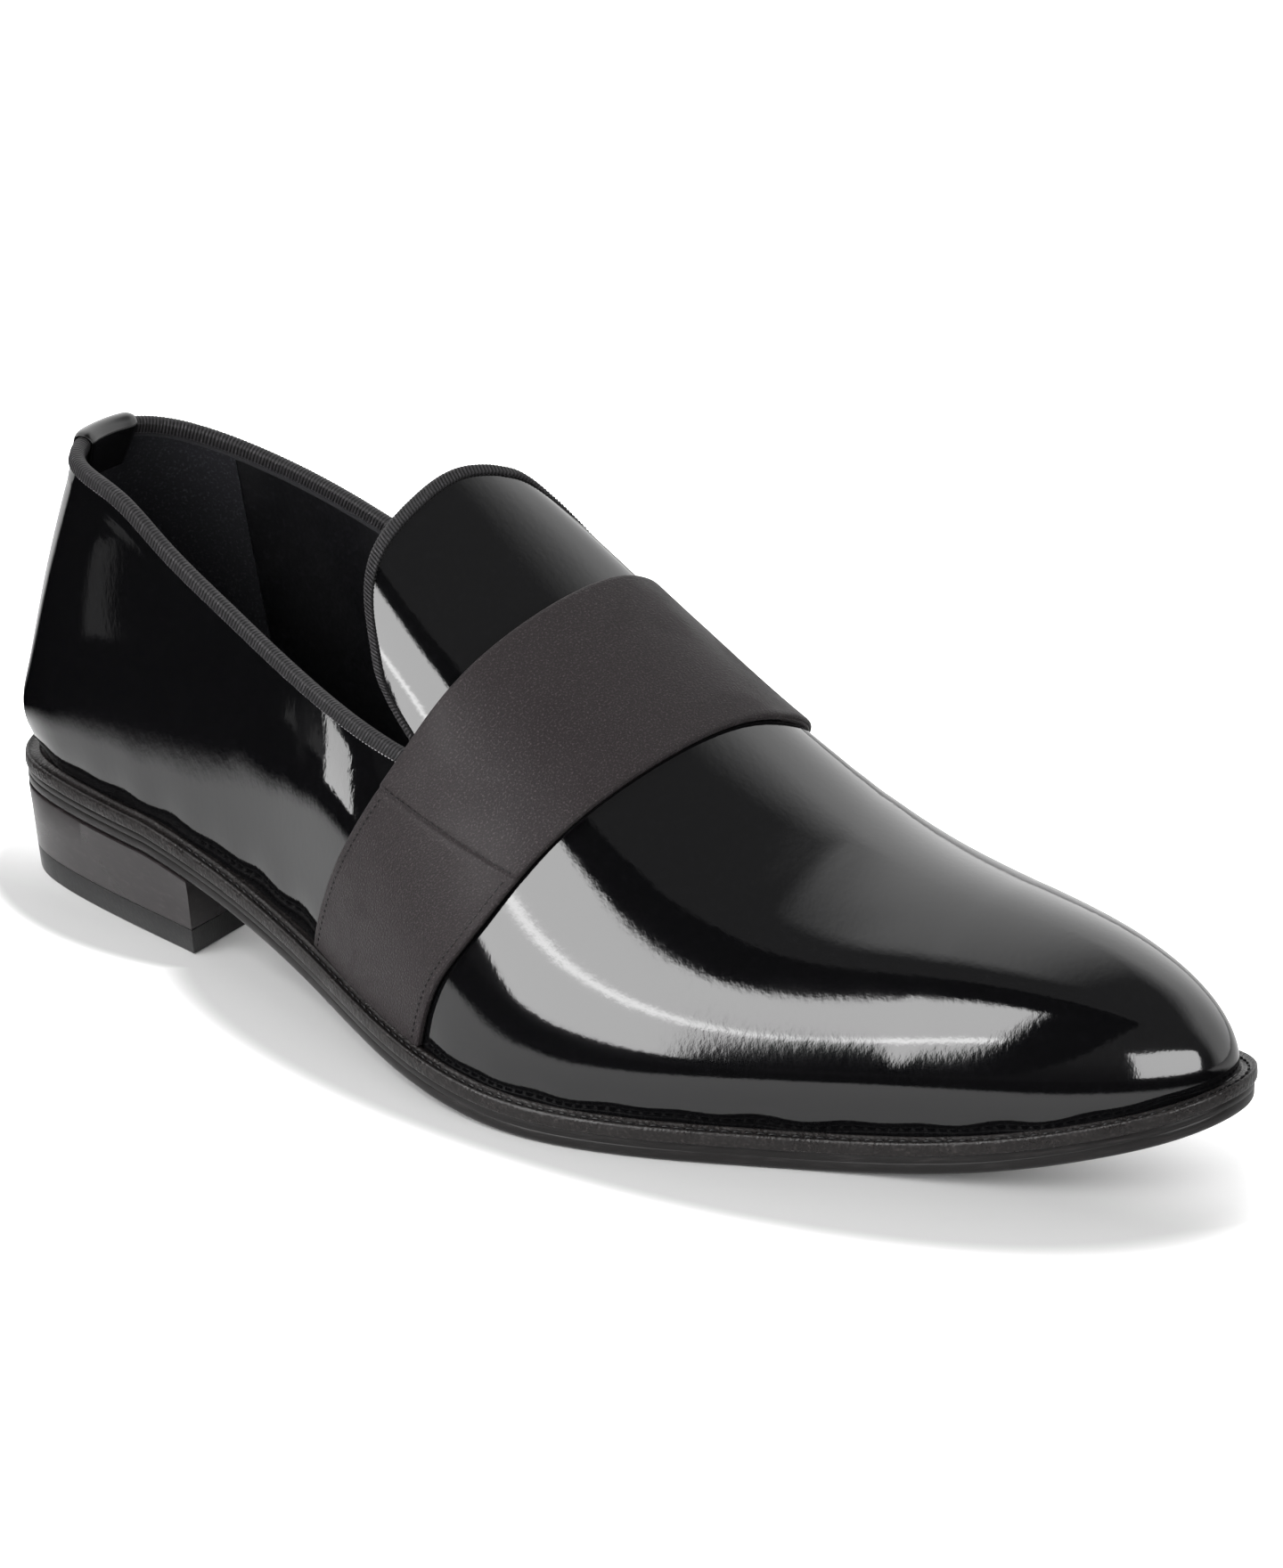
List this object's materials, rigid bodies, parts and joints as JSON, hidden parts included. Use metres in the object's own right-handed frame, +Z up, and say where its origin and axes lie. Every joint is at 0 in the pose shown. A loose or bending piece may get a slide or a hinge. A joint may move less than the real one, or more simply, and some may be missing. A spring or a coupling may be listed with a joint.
{
  "type": "slip-on dress shoe",
  "caption": "Formal slip-on shoe for the right foot in patent leather, with a raised tongue, ribbed bindings, a satin instep band and a low block heel.",
  "frame": {"origin": "on the floor, in the middle of the shoe's box", "axes": "+X towards the toe, +Y towards the inner (medial) side, +Z up"},
  "size_m": [0.3054, 0.1112, 0.112],
  "materials": {
    "sole_edge": "satin",
    "rubber": "matte",
    "patent": "patent gloss",
    "lining": "matte",
    "ribbon": "ribbed",
    "satin": "satin"
  },
  "bodies": {
    "root": {"outsole": "sole_edge", "welt": "sole_edge", "heel_block": "sole_edge", "heel_top_lift": "rubber", "upper": "patent", "insole": "lining", "collar_binding": "ribbon", "tongue_binding": "ribbon", "heel_tab": "patent", "instep_band": "satin"}
  },
  "joints": []
}
